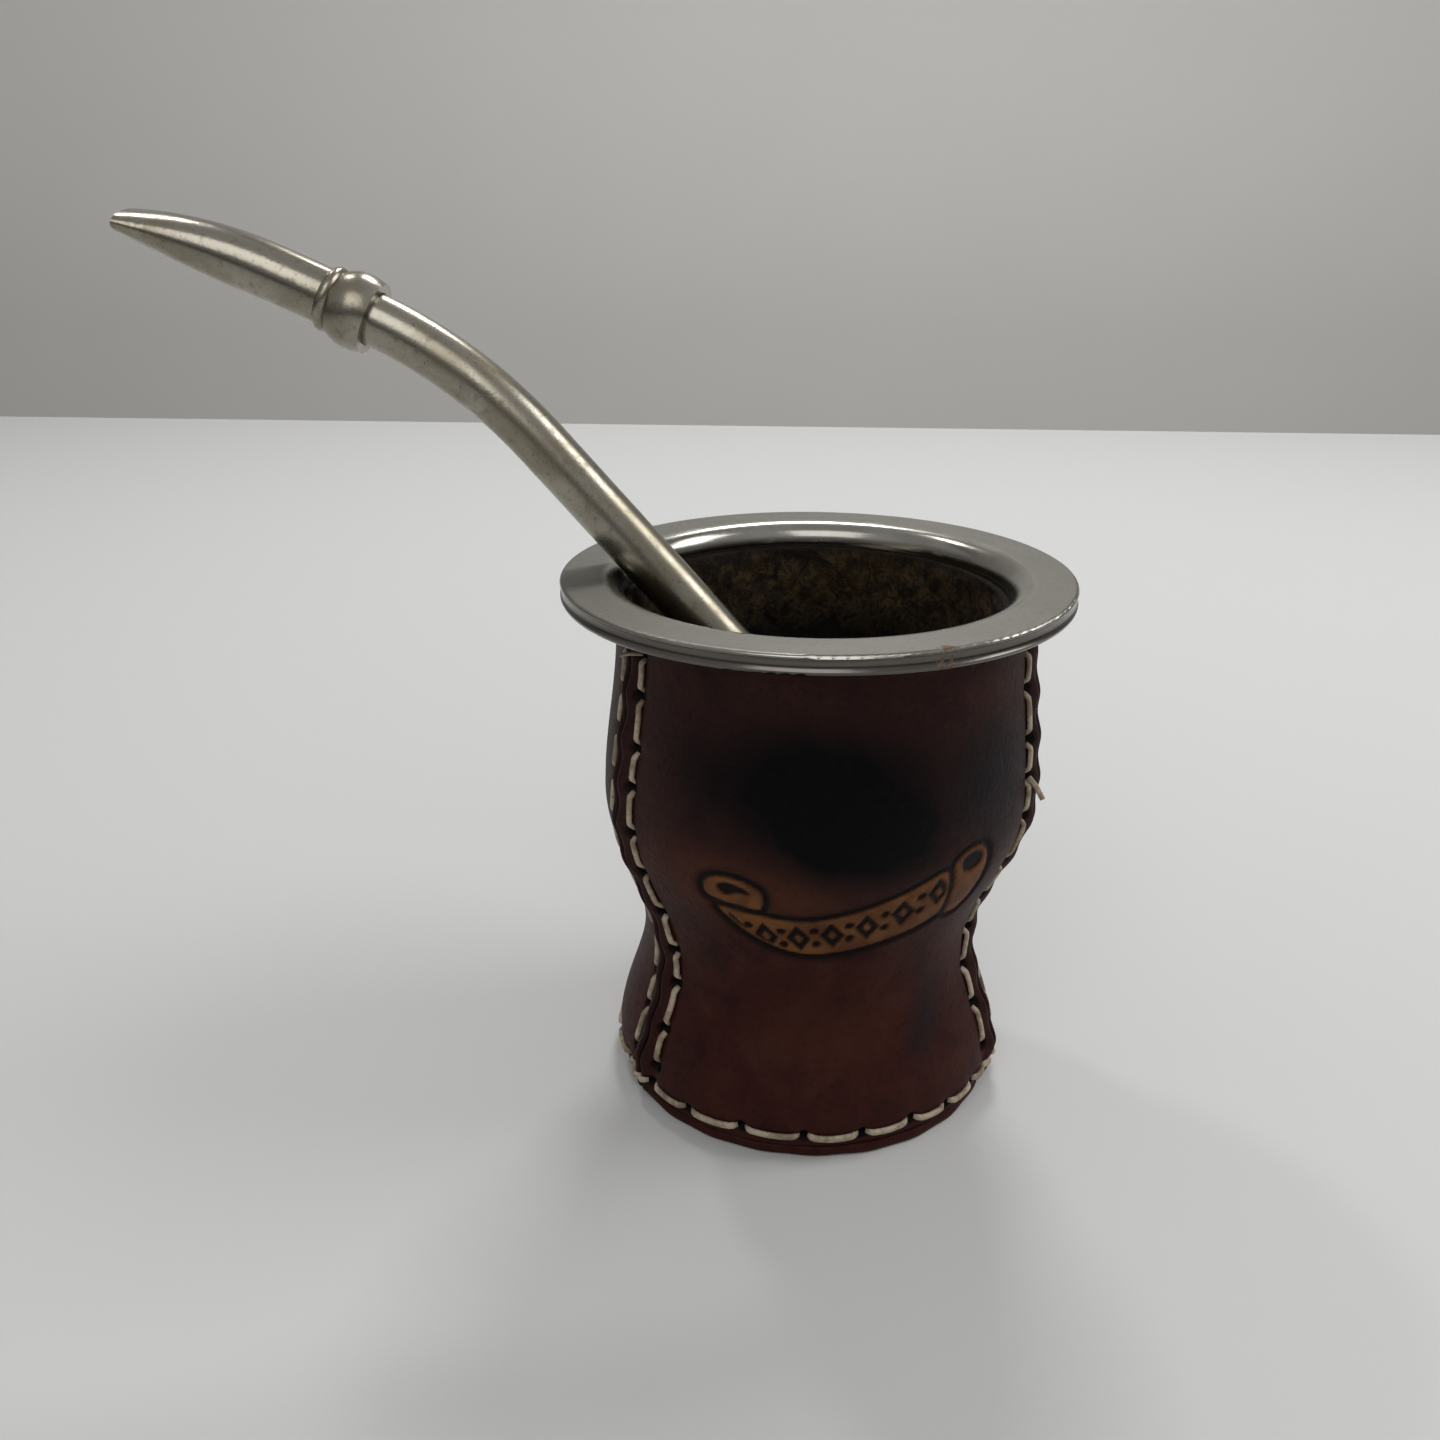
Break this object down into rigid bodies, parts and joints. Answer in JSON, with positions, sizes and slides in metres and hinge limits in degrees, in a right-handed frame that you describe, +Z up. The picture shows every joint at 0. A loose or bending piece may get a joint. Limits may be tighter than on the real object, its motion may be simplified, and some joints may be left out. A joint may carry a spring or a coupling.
{
  "type": "leather-covered mate gourd with metal straw",
  "caption": "Small drinking gourd covered in stitched brown leather, with a flat steel rim and a bent metal straw leaning in its open mouth.",
  "frame": {"origin": "centre of the sole's underside, on the gourd's axis", "axes": "+Z up along the gourd's axis; -Y is the front of the cover; the straw leans towards -X"},
  "size_m": [0.1467, 0.08, 0.14],
  "materials": {
    "leather": "antiqued dark brown leather, fine grain, low sheen",
    "calabash": "dry fibrous calabash, matte",
    "rim_steel": "satin steel plate with a polished rolled mouth",
    "straw_metal": "tarnished nickel silver, soft gloss",
    "thread": "flat waxed cream thread"
  },
  "bodies": {
    "root": {"gourd": "calabash", "leather_front": "leather", "leather_back_right": "leather", "leather_back_left": "leather", "leather_sole": "leather", "steel_rim": "rim_steel", "thread_left_low": "thread", "thread_left_high": "thread", "thread_right_low": "thread", "thread_right_high": "thread", "thread_back_low": "thread", "thread_back_high": "thread", "thread_hem": "thread", "straw_tube": "straw_metal", "straw_collar": "straw_metal", "straw_mouthpiece": "straw_metal", "straw_strainer": "straw_metal"}
  },
  "joints": []
}
